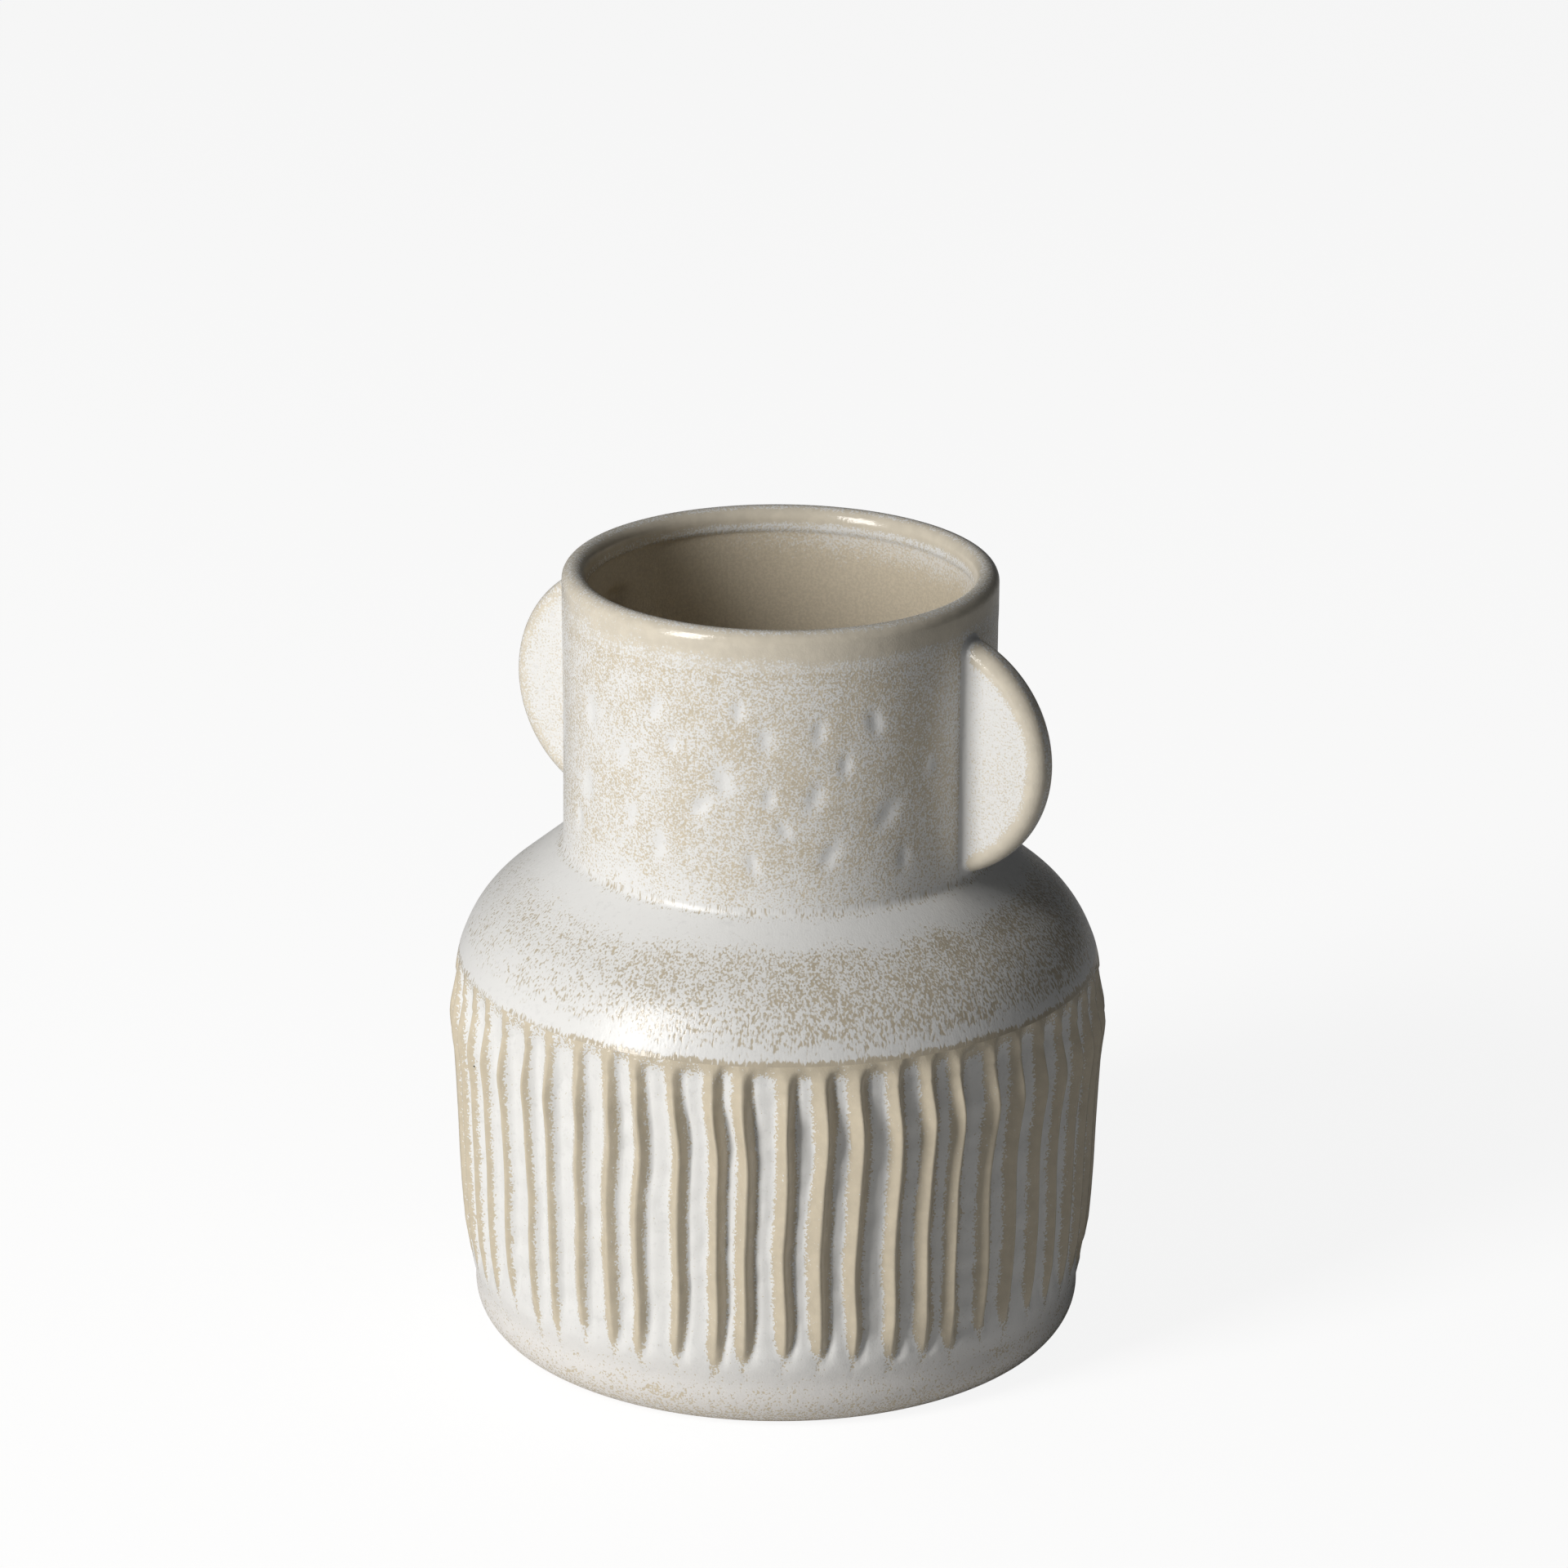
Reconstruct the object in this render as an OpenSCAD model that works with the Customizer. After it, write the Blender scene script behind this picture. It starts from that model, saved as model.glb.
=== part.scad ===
// Stoneware vase: a fluted drum, a sloping shoulder, a wide collar neck and two half-disc lugs.
// Each clay part is a separate solid. They meet in the rebated joints that a potter lutes with slip.
// Millimetres, +Z up. The origin is the centre of the resting face, and the lugs stand along X.

/* [Neck and rim] */
// Height of the vase, from the table to the top of the lip
vase_h = 200; // [196:1:208]
// Outer radius of the neck
neck_r = 54.2; // [53:0.2:55.4]
// Thickness of the neck's and shoulder's wall
wall_t = 5.6; // [5:0.2:6.2]
// Height of the ring that finishes the neck
rim_h = 10; // [9:0.5:12]
// Thickness of the rounded lip
lip_t = 6.2; // [5.8:0.1:6.6]
// Depth of the crease inside the rim, below the top of the lip
crease_depth = 6.2; // [5.6:0.1:6.8]
// How far the ledge above the crease stands in from the neck's bore
ledge_t = 0.6; // [0.3:0.1:1]

/* [Shoulder] */
// Slope of the shoulder, above the horizontal
shoulder_slope = 39.6; // [38:0.2:42]
// Radius of the curve that rounds the shoulder into the drum
edge_r = 31.4; // [28:0.2:34]
// Lean of the shoulder where it meets the drum, away from upright
edge_lean = 14.8; // [13:0.2:17]
// Radius of the cove at the foot of the neck
cove_r = 3; // [2:0.5:4]

/* [Fluted drum] */
// Height of the drum's top, where the shoulder begins
drum_h = 99; // [97:1:101]
// Radius of the drum's top
drum_r = 80.6; // [80:0.2:81.2]
// Inner radius of the drum
drum_in = 73.4; // [72.6:0.2:74]
// Number of flutes round the drum
flute_count = 56; // [52:4:60]
// Radius of the gouge that carves a flute
gouge_r = 4; // [3.6:0.1:4.2]
// Radius of the flute's floor at its lower end
flute_low_r = 77.4; // [77:0.1:78]
// Radius of the flute's floor at its upper end
flute_high_r = 79.6; // [79:0.1:79.8]
// Height of the lower end of the gouge's path
flute_low = 20; // [19:1:24]
// Distance from a flute's rounded top to the top of the drum
flute_gap = 0.8; // [0.6:0.2:2]

/* [Heel, foot and floor] */
// Radius of the smooth band above the heel
band_r = 77.1; // [76.6:0.1:77.6]
// Radius of the curved heel
heel_r = 10.5; // [9.5:0.5:11.5]
// Angle that the heel turns through, from the band down to the table
heel_turn = 76; // [74:1:80]
// Height of the bare clay that shows below the glaze
foot_h = 1.2; // [1:0.1:1.6]
// Width of the face that the vase rests on
foot_w = 8; // [6:0.5:9]
// Depth of the hollow under the floor
hollow_h = 3; // [2.4:0.2:4]
// Thickness of the floor
floor_t = 6; // [5:0.5:7]

/* [Lugs] */
// Radius of the disc that each lug is cut from
lug_r = 32; // [30:0.5:33]
// Distance of the disc's centre from the axis of the vase
lug_x = 44.5; // [43:0.5:46]
// Height of the disc's centre
lug_z = 160.4; // [159:0.2:162]
// Thickness of a lug
lug_t = 8; // [7:0.5:9]
// Radius of the lug's rounded edges
lug_round = 3.4; // [2:0.2:3.4]
// Depth of the hollow that each lug leaves in the neck's bore
pocket_depth = 2.4; // [1:0.2:2.8]
// Radius of that hollow's section
pocket_r = 6; // [5:0.5:8]

/* [Hidden] */
$fn = 96;
arc_step = 6;      // degrees between the points of a rounded outline
joint_h = 2.5;     // height of the tongue in each rebated joint
seat_w = 3;        // width of the ledge in the wall that the floor rests on
over = 1;          // how far a cutter runs past what it cuts

// Neck and rim
neck_in = neck_r - wall_t;
neck_mid = neck_r - wall_t / 2;
rim_z = vase_h - rim_h;
lip_r = lip_t / 2;
crease_z = vase_h - crease_depth;
ledge_r = neck_in - ledge_t;

// Shoulder: an arc from the drum, a straight cone, then the cove at the foot of the neck
turn = 90 - shoulder_slope;
edge_x = drum_r - edge_r * cos(edge_lean);
edge_z = drum_h - edge_r * sin(edge_lean);
cone_low = [edge_x + edge_r * cos(turn), edge_z + edge_r * sin(turn)];
cone_top_z = cone_low[1] + (cone_low[0] - neck_r) * tan(shoulder_slope);
neck_z = cone_top_z + cove_r * tan(turn / 2);

// The same cone inside, one wall thickness below
cone_drop = wall_t / cos(shoulder_slope);
inner_low_z = cone_low[1] + (cone_low[0] - drum_in) * tan(shoulder_slope) - cone_drop;
inner_top_z = cone_low[1] + (cone_low[0] - neck_in) * tan(shoulder_slope) - cone_drop;
drum_top = drum_h + joint_h;
neck_seat = neck_z - joint_h;
inner_low_r = (inner_low_z - drum_top) / tan(turn / 2);
inner_top_r = (neck_seat - inner_top_z) / tan(turn / 2);

// Heel, foot and floor
heel_x = band_r - heel_r;
heel_z = heel_r * sin(heel_turn);
foot_r = heel_x + heel_r * cos(heel_turn);
foot_in = foot_r - foot_w;
foot_angle = asin((foot_h - heel_z) / heel_r);
seat_r = foot_r;             // outside of the floor disc
ring_r = foot_r - seat_w;    // outside of the foot ring's upstand
floor_z = hollow_h + floor_t;
floor_cove = drum_in - seat_r;

// Drum: how far its ridges stand out from the band, and at what share of its height
ridge_line = [
    [0.6, 0.18], [1.8, 0.23], [3.1, 0.29], [3.9, 0.45], [4.7, 0.66],
    [5.3, 0.76], [6.1, 0.825], [5.9, 0.855], [4.6, 0.92],
];
drum_mid = (drum_in + flute_low_r) / 2;
flute_high = drum_h - flute_gap - gouge_r;
flute_lean = atan((flute_high_r - flute_low_r) / (flute_high - flute_low));
flute_run = (flute_high - flute_low) / cos(flute_lean);

// Points along an arc, from one angle to another
function arc(x, z, r, from, to) =
    let (steps = ceil(abs(to - from) / arc_step))
    [for (i = [0 : steps])
        let (a = from + (to - from) * i / steps)
        [x + r * cos(a), z + r * sin(a)]];

// Outside of the shoulder, from the drum up to the foot of the neck
function shoulder_outside() = concat(
    arc(edge_x, edge_z, edge_r, edge_lean, turn),
    arc(neck_r + cove_r, neck_z, cove_r, 180 + turn, 180)
);

module turned(outline) {
    rotate_extrude() polygon(outline);
}

// Bare clay ring that the vase rests on, with an upstand inside the wall
module foot_ring() {
    color("burlywood")
        turned(concat(
            [[foot_in, 0]],
            arc(heel_x, heel_z, heel_r, -heel_turn, foot_angle),
            [[ring_r, foot_h], [ring_r, hollow_h], [foot_in, hollow_h]]
        ));
}

// Round floor, resting on the foot ring's upstand and on a ledge inside the wall
module floor_disc() {
    color("tan")
        translate([0, 0, hollow_h]) cylinder(r = seat_r, h = floor_t);
}

module drum_blank() {
    turned(concat(
        [[ring_r, foot_h]],
        arc(heel_x, heel_z, heel_r, foot_angle, 0),
        [for (p = ridge_line) [band_r + p[0], p[1] * drum_h]],
        [[drum_r, drum_h], [drum_mid, drum_h], [drum_mid, drum_top], [drum_in, drum_top]],
        arc(seat_r, floor_z + floor_cove, floor_cove, 0, -90),
        [[seat_r, hollow_h], [ring_r, hollow_h]]
    ));
}

// Path of the gouge for one flute, round at both ends
module flute() {
    translate([flute_low_r + gouge_r, 0, flute_low]) rotate([0, flute_lean, 0]) {
        sphere(r = gouge_r);
        cylinder(r = gouge_r, h = flute_run);
        translate([0, 0, flute_run]) sphere(r = gouge_r);
    }
}

// Heel and drum, carved all round with flutes that stop short of the shoulder
module fluted_wall() {
    color("ivory")
        difference() {
            drum_blank();
            for (i = [0 : flute_count - 1])
                rotate([0, 0, (i + 0.5) * 360 / flute_count]) flute();
        }
}

// Sloping shoulder, rebated over the drum's tongue and under the neck's
module shoulder() {
    color("whitesmoke")
        turned(concat(
            [[drum_mid, drum_h]],
            shoulder_outside(),
            [[neck_mid, neck_z], [neck_mid, neck_seat]],
            arc(neck_in + inner_top_r, neck_seat, inner_top_r, 180, 180 + turn),
            arc(drum_in - inner_low_r, drum_top, inner_low_r, turn, 0),
            [[drum_mid, drum_top]]
        ));
}

// Hollow that a lug leaves in the neck's bore, round at both ends
module pocket() {
    reach = lug_r - pocket_r;
    translate([neck_in + pocket_depth - pocket_r, 0, lug_z]) {
        translate([0, 0, -reach]) sphere(r = pocket_r);
        translate([0, 0, -reach]) cylinder(r = pocket_r, h = 2 * reach);
        translate([0, 0, reach]) sphere(r = pocket_r);
    }
}

// Straight collar, with a tongue into the shoulder and a rebate for the rim
module neck() {
    color("beige")
        difference() {
            turned([
                [neck_in, neck_seat], [neck_mid, neck_seat], [neck_mid, neck_z], [neck_r, neck_z],
                [neck_r, rim_z], [neck_mid, rim_z], [neck_mid, rim_z - joint_h],
                [neck_in, rim_z - joint_h],
            ]);
            for (side = [0, 180]) rotate([0, 0, side]) pocket();
        }
}

// Ring with the rounded lip, and a ledge inside that ends in a crease
module rim() {
    color("wheat")
        turned(concat(
            [[neck_mid, rim_z], [neck_r, rim_z]],
            arc(neck_r - lip_r, vase_h - lip_r, lip_r, 0, 180),
            [[ledge_r, crease_z + ledge_t], [neck_in, crease_z]],
            [[neck_in, rim_z - joint_h], [neck_mid, rim_z - joint_h]]
        ));
}

// Disc with rounded edges, lying on the XY plane's two sides
module lug_disc() {
    flat = lug_t / 2 - lug_round;
    turned(concat(
        [[0, -lug_t / 2]],
        arc(lug_r - lug_round, -flat, lug_round, -90, 0),
        arc(lug_r - lug_round, flat, lug_round, 0, 90),
        [[0, lug_t / 2]]
    ));
}

// Solid ear, cut to sit against the neck and in the cove below it
module lug() {
    difference() {
        translate([lug_x, 0, lug_z]) rotate([90, 0, 0]) lug_disc();
        cylinder(r = neck_r, h = vase_h + over);
        turned(concat([[0, drum_h]], shoulder_outside(), [[0, neck_z]]));
    }
}

module lug_right() {
    color("oldlace") lug();
}

module lug_left() {
    color("oldlace") rotate([0, 0, 180]) lug();
}

foot_ring();
floor_disc();
fluted_wall();
shoulder();
neck();
rim();
lug_right();
lug_left();
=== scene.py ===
"""Stoneware vase with a fluted drum, a smooth shoulder, a straight neck, a rolled lip and two lugs.

Each clay piece is its own closed mesh. The glaze is cool white where it pools, in flutes, coves and
dents, and thins to warm beige where it breaks over ridges, edges and the lip.
"""

import math
import random

import bmesh
import bpy
from bpy.props import FloatProperty, FloatVectorProperty, IntProperty, PointerProperty
from mathutils import Matrix, Vector, noise


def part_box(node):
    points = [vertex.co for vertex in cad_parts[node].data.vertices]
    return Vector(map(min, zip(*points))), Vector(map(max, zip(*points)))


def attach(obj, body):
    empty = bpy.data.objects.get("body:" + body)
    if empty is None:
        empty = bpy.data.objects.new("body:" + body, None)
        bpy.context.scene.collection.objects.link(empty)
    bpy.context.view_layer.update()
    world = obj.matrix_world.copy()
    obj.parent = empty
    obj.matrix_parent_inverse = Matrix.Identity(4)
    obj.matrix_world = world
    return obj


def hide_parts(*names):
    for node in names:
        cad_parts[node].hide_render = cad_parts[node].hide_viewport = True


bl_info = {
    "name": "Stoneware Vase",
    "version": (1, 0, 0),
    "blender": (4, 5, 0),
    "location": "3D View > Sidebar > Vase",
    "description": "Builds a fluted stoneware vase with two lugs and a reactive glaze",
    "category": "Add Mesh",
}

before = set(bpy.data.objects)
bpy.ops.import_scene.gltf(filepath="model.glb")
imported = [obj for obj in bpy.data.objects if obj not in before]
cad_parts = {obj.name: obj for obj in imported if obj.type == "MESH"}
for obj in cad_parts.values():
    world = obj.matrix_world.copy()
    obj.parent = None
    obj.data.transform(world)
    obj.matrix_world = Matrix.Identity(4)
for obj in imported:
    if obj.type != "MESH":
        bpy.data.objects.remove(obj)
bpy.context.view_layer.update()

MM = 0.001
TURN = 2 * math.pi
PLAIN_ROW = 12 * MM  # height of a face on a plain hidden wall

# Directions round the vase, from +X, in which its finish changes; towards one, light is also painted
# inside the mouth
FRONT = math.radians(-62)
BLOOM_AND_LIGHT_SIDE = math.radians(75)  # white bloom inside the mouth, partly glaze and partly painted light where the key light falls
WHITE_LIP_SIDE = math.radians(-150)  # speckled white under the lip
NECK_SPECK_SIDE = math.radians(-22)  # densest specks on the neck
SHOULDER_SPECK_SIDE = math.radians(-10)  # densest specks on the shoulder

RIM_LOW, RIM_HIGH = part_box("rim")
SHOULDER_LOW, SHOULDER_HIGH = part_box("shoulder")
WALL_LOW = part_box("fluted_wall")[0]
FLOOR_LOW, FLOOR_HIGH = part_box("floor_disc")
LUG_LOW, LUG_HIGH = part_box("lug_right")


def length(name, description, default, **limits):
    """A length property, in metres."""
    return FloatProperty(name=name, description=description, default=default,
                         unit="LENGTH", subtype="DISTANCE", precision=4, **limits)


def tilt(name, description, degrees):
    """An angle property, given in degrees."""
    return FloatProperty(name=name, description=description, default=math.radians(degrees),
                         unit="ROTATION", subtype="ANGLE")


def colour(name, description, default):
    """A colour property."""
    return FloatVectorProperty(name=name, description=description, default=default,
                               size=3, min=0, max=1, subtype="COLOR")


# Sizes and colours that a user would change

class VaseBody(bpy.types.PropertyGroup):
    """Sizes of the turned pieces"""

    wall: length("Wall", "Thickness of the neck's wall", 5.6 * MM)
    joint: length("Joint", "Height of the tongue in each joint between pieces", 2.5 * MM)
    lip: length("Lip", "Radius of the rolled lip", 3.1 * MM)
    crease: length("Crease", "Depth of the crease inside the rim", 6.2 * MM)
    ledge: length("Ledge", "Depth of the ledge above the crease", 0.6 * MM)
    edge: length("Edge", "Radius of the curve from the shoulder into the drum", 31.4 * MM)
    edge_lean: tilt("Edge lean", "Lean of the shoulder where it meets the drum", 14.8)
    slope: tilt("Slope", "Slope of the shoulder", 39.6)
    cove: length("Cove", "Radius of the cove at the foot of the neck", 3 * MM)
    bore: length("Bore", "Inner radius of the drum", 73.4 * MM)
    heel: length("Heel", "Radius of the curved heel", 10.5 * MM)
    heel_turn: tilt("Heel turn", "Angle that the heel turns through", 76)
    band: length("Band", "Radius of the smooth band above the heel", 77.1 * MM)
    foot_width: length("Foot width", "Width of the face that the vase rests on", 8 * MM)
    seat: length("Seat", "Width of the ledge in the wall that the floor rests on", 3 * MM)
    uneven: length("Uneven", "How far the hand-finished surfaces wander", 0.22 * MM)
    columns: IntProperty(name="Columns", description="Faces round a turned piece",
                         default=448, min=96, max=720)


class VaseFlutes(bpy.types.PropertyGroup):
    """Sizes of the carved flutes and of the ridges between them"""

    count: IntProperty(name="Flutes", description="Number of flutes", default=56, min=12, max=90)
    columns: IntProperty(name="Columns", description="Faces across one flute",
                         default=14, min=8, max=20)
    floor_low: length("Low floor", "Radius of the flutes' floor at the heel", 77.9 * MM)
    floor_high: length("High floor", "Radius of the flutes' floor near the shoulder", 79.8 * MM)
    ridge: length("Ridge", "Width of a ridge's flank", 3.5 * MM)
    wander: length("Wander", "How far a ridge strays sideways", 0.9 * MM)
    stray: tilt("Stray", "How unevenly the ridges are spaced", 0.42)


class VaseLugs(bpy.types.PropertyGroup):
    """Sizes of the two lugs"""

    radius: length("Radius", "Radius of the disc that a lug is cut from", 32 * MM)
    rounding: length("Rounding", "Radius of the lug's rounded edges", 3.4 * MM)
    fillet: length("Fillet", "Radius of the clay smoothed in at the root", 1.1 * MM)
    pocket: length("Pocket", "Depth of the hollow behind a lug", 2.2 * MM)


class VaseColours(bpy.types.PropertyGroup):
    """Colours of the glaze and the clay"""

    white: colour("White", "Glaze where it pools", (0.80, 0.80, 0.79))
    beige: colour("Beige", "Glaze where it breaks over an edge", (0.64, 0.565, 0.435))
    lip: colour("Lip", "Glaze where it thins on the lip and the lugs", (0.70, 0.64, 0.53))
    speck: colour("Speck", "Specks in the glaze of the shoulder", (0.555, 0.49, 0.38))
    liner: colour("Liner", "Glaze inside the vase", (0.64, 0.565, 0.440))
    blush: colour("Blush", "White glaze near the foot", (0.76, 0.735, 0.71))
    clay: colour("Clay", "Bare clay of the foot", (0.50, 0.38, 0.25))
    floor: colour("Floor", "Studio floor", (0.94, 0.94, 0.94))


class VaseStage(bpy.types.PropertyGroup):
    """Camera and light"""

    azimuth: tilt("Azimuth", "Direction of the camera, round from the front", 30.6)
    elevation: tilt("Elevation", "Angle that the camera looks down at", 19.69)
    roll: tilt("Roll", "Roll of the camera", 0.38)
    distance: length("Distance", "Distance of the camera from the vase", 1.6)
    aim: length("Aim", "Height on the vase's axis that the camera looks at", 142.7 * MM)
    shift: length("Shift", "How far the camera stands to the right of the axis", 1.2 * MM)
    lens: FloatProperty(name="Lens", description="Focal length", default=146.7,
                        min=20, max=400, unit="CAMERA")


# Geometry helpers

def smooth(low, high, value):
    """0 below low, 1 above high, and a smooth step between."""
    t = min(max((value - low) / (high - low), 0), 1)
    return t * t * (3 - 2 * t)


def blend(a, b, t):
    """a where t is 0, and b where it is 1."""
    return a + (b - a) * t


def wave(x, y, z, seed=0):
    """Smooth noise from -1 to 1."""
    return noise.noise(Vector((x + 31.7 * seed, y - 17.3 * seed, z + 5.1 * seed)))


def towards(angle, direction):
    """1 where the angle faces the direction, 0 where it faces away, and smooth between."""
    return 0.5 + 0.5 * math.cos(angle - direction)


def arc(x, z, radius, start, end, steps):
    """Points on an arc, with its angles in radians."""
    angles = [blend(start, end, i / steps) for i in range(steps + 1)]
    return [(x + radius * math.cos(a), z + radius * math.sin(a)) for a in angles]


def turned(outline, columns, row, plain=0):
    """Closed solid of revolution from an outline, with long faces inside the plain radius."""
    bm = bmesh.new()
    verts = [bm.verts.new((r, 0, z)) for r, z in outline]
    edges = [bm.edges.new((a, b)) for a, b in zip(verts, verts[1:] + verts[:1])]
    for edge in edges:
        inside = max(vert.co.x for vert in edge.verts) < plain
        cuts = int(edge.calc_length() / (PLAIN_ROW if inside else row))
        if cuts:
            bmesh.ops.subdivide_edges(bm, edges=[edge], cuts=cuts)
    part = TURN / 8
    bmesh.ops.spin(bm, geom=bm.verts[:] + bm.edges[:], cent=(0, 0, 0), axis=(0, 0, 1),
                   angle=part, steps=columns // 8)
    for turn in (part, 2 * part, 4 * part):
        copy = bmesh.ops.duplicate(bm, geom=bm.verts[:] + bm.edges[:] + bm.faces[:])["geom"]
        bmesh.ops.rotate(bm, verts=only(copy, bmesh.types.BMVert),
                         cent=(0, 0, 0), matrix=Matrix.Rotation(turn, 3, "Z"))
    close(bm)
    return bm


def only(geometry, kind):
    """The vertices, edges or faces of a mixed list."""
    return [item for item in geometry if isinstance(item, kind)]


def close(bm, sharp=math.radians(50)):
    """Closes the mesh, turns its faces outwards and marks the edges of its joints sharp."""
    bmesh.ops.remove_doubles(bm, verts=bm.verts[:], dist=0.001 * MM)
    bmesh.ops.recalc_face_normals(bm, faces=bm.faces[:])
    for face in bm.faces:
        face.smooth = True
    for edge in bm.edges:
        edge.smooth = edge.calc_face_angle(0) < sharp


def polar(co):
    """Distance from the axis, and angle round it from +X."""
    return math.hypot(co.x, co.y), math.atan2(co.y, co.x)


def place(vert, radius, angle, z):
    """Moves a vertex to a radius, an angle and a height."""
    vert.co = (radius * math.cos(angle), radius * math.sin(angle), z)


def paint(bm, rule):
    """Stores how thickly the glaze lies at each vertex, and whether it is the inside's glaze."""
    pool = bm.verts.layers.float.new("pool")
    liner = bm.verts.layers.float.new("liner")
    for vert in bm.verts:
        vert[pool], vert[liner] = rule(vert)


def make_piece(name, bm, node, material):
    """Turns the mesh into a piece that stands for a CAD node."""
    mesh = bpy.data.meshes.new(name)
    bm.to_mesh(mesh)
    bm.free()
    piece = bpy.data.objects.new(name, mesh)
    bpy.context.scene.collection.objects.link(piece)
    mesh.materials.append(material)
    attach(piece, "root")
    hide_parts(node)
    return piece


# The form of the vase, shared by its pieces

class Form:
    """Radii and heights that more than one piece needs."""

    def __init__(self, body):
        self.neck = RIM_HIGH.x
        self.bore = self.neck - body.wall
        self.neck_mid = self.neck - body.wall / 2
        self.top = RIM_HIGH.z
        self.rim_z = RIM_LOW.z + body.joint
        self.neck_z = SHOULDER_HIGH.z
        self.drum = SHOULDER_HIGH.x
        self.drum_z = SHOULDER_LOW.z
        self.drum_mid = (body.bore + self.drum - 3.2 * MM) / 2
        self.turn = math.pi / 2 - body.slope
        self.edge_x = self.drum - body.edge * math.cos(body.edge_lean)
        self.edge_z = self.drum_z - body.edge * math.sin(body.edge_lean)
        self.heel_x = body.band - body.heel
        self.heel_z = body.heel * math.sin(body.heel_turn)
        self.foot_z = WALL_LOW.z
        self.foot_angle = math.asin((self.foot_z - self.heel_z) / body.heel)
        self.foot = self.heel_x + body.heel * math.cos(body.heel_turn)
        self.upstand = self.foot - body.seat
        self.hollow = FLOOR_LOW.z
        self.floor_z = FLOOR_HIGH.z
        self.lug_z = (LUG_LOW.z + LUG_HIGH.z) / 2
        self.edge = body.edge
        self.rise = math.tan(body.slope)
        self.cone_x = self.edge_x + body.edge * math.cos(self.turn)
        self.cone_z = self.edge_z + body.edge * math.sin(self.turn)

    def shoulder(self, z):
        """Outer radius of the shoulder: its slope, and below it the curve that joins the drum."""
        if z > self.cone_z:
            return max(self.cone_x - (z - self.cone_z) / self.rise, self.neck)
        up = max(z - self.edge_z, 0)
        return self.edge_x + math.sqrt(self.edge ** 2 - up ** 2)


def wander_surface(bm, body, outside, low, high):
    """Lets an outer surface wander a little between two heights, as a hand-finished one does."""
    ease = 4 * MM
    for vert in bm.verts:
        radius, angle = polar(vert.co)
        if not outside(vert.co, radius):
            continue
        hold = smooth(low, low + ease, vert.co.z) * (1 - smooth(high - ease, high, vert.co.z))
        x, y = math.cos(angle), math.sin(angle)
        drift = wave(1.6 * x, 1.6 * y, 28 * vert.co.z) + 0.5 * wave(4 * x, 4 * y, 70 * vert.co.z, 3)
        place(vert, radius + (drift - 1) * 0.5 * body.uneven * hold, angle, vert.co.z)


# Shader helpers

class Value:
    """A shader socket that takes part in Python sums."""

    def __init__(self, shader, socket):
        self.shader = shader
        self.socket = socket

    def maths(self, operation, a, b=None):
        inputs = {0: a} if b is None else {0: a, 1: b}
        return self.shader.node("ShaderNodeMath", {"operation": operation}, inputs)

    def __add__(self, other):
        return self.maths("ADD", self, other)

    def __radd__(self, other):
        return self.maths("ADD", other, self)

    def __sub__(self, other):
        return self.maths("SUBTRACT", self, other)

    def __rsub__(self, other):
        return self.maths("SUBTRACT", other, self)

    def __mul__(self, other):
        return self.maths("MULTIPLY", self, other)

    def __rmul__(self, other):
        return self.maths("MULTIPLY", other, self)

    def __gt__(self, other):
        return self.maths("GREATER_THAN", self, other)

    def __lt__(self, other):
        return self.maths("LESS_THAN", self, other)


class Shader:
    """Node tree of one material."""

    def __init__(self, name):
        self.material = bpy.data.materials.new(name)
        self.material.use_nodes = True
        self.tree = self.material.node_tree
        self.surface = self.tree.nodes["Principled BSDF"]

    def node(self, kind, settings=None, inputs=None, output=0):
        """Adds a node: its settings first, then the values or links of its sockets."""
        node = self.tree.nodes.new(kind)
        for key, value in (settings or {}).items():
            setattr(node, key, value)
        for key, value in (inputs or {}).items():
            self.feed(node.inputs[key], value)
        return Value(self, node.outputs[output])

    def feed(self, socket, value):
        """Links a value to a socket, or sets a plain one on it."""
        if isinstance(value, Value):
            self.tree.links.new(value.socket, socket)
        else:
            socket.default_value = value

    def place(self):
        return self.node("ShaderNodeTexCoord", output="Object")

    def attribute(self, name):
        return self.node("ShaderNodeAttribute", {"attribute_name": name}, output="Fac")

    def cloud(self, where, scale, detail=2.0, roughness=0.5):
        """Noise from 0 to 1, with scale in lumps per metre."""
        return self.node("ShaderNodeTexNoise", inputs={
            "Vector": where, "Scale": scale, "Detail": detail, "Roughness": roughness})

    def step(self, value, low, high):
        """Smooth step from 0 at low to 1 at high."""
        return self.node("ShaderNodeMapRange", {"interpolation_type": "SMOOTHSTEP"}, {
            "Value": value, "From Min": low, "From Max": high})

    def mix(self, mask, a, b):
        """Colour a where the mask is 0, and b where it is 1."""
        return self.node("ShaderNodeMix", {"data_type": "RGBA"}, {
            "Factor": mask, 6: a, 7: b}, output=2)

    def vector(self, operation, a, b):
        return self.node("ShaderNodeVectorMath", {"operation": operation}, {0: a, 1: b})

    def radial(self, where, reach, stretch):
        """Coordinates that draw a texture out along the radius, away from the axis."""
        flat = self.vector("MULTIPLY", where, (1, 1, 0))
        radius = self.node("ShaderNodeVectorMath", {"operation": "LENGTH"}, {0: flat}, output="Value")
        way = self.node("ShaderNodeVectorMath", {"operation": "NORMALIZE"}, {0: flat})
        out = self.node("ShaderNodeCombineXYZ", inputs={"Z": radius * stretch})
        return self.vector("ADD", self.vector("MULTIPLY", way, (reach, reach, 0)), out)

    def bump(self, height, strength, distance):
        return self.node("ShaderNodeBump", inputs={
            "Height": height, "Strength": strength, "Distance": distance})


def rgba(colour, shade=1.0):
    """Colour with its alpha, made darker or lighter by a shade."""
    return (*(min(c * shade, 1.0) for c in colour), 1.0)


def grey(level):
    """The same level in each channel, for a mix that feeds a plain number."""
    return (level, level, level, 1.0)


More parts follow.
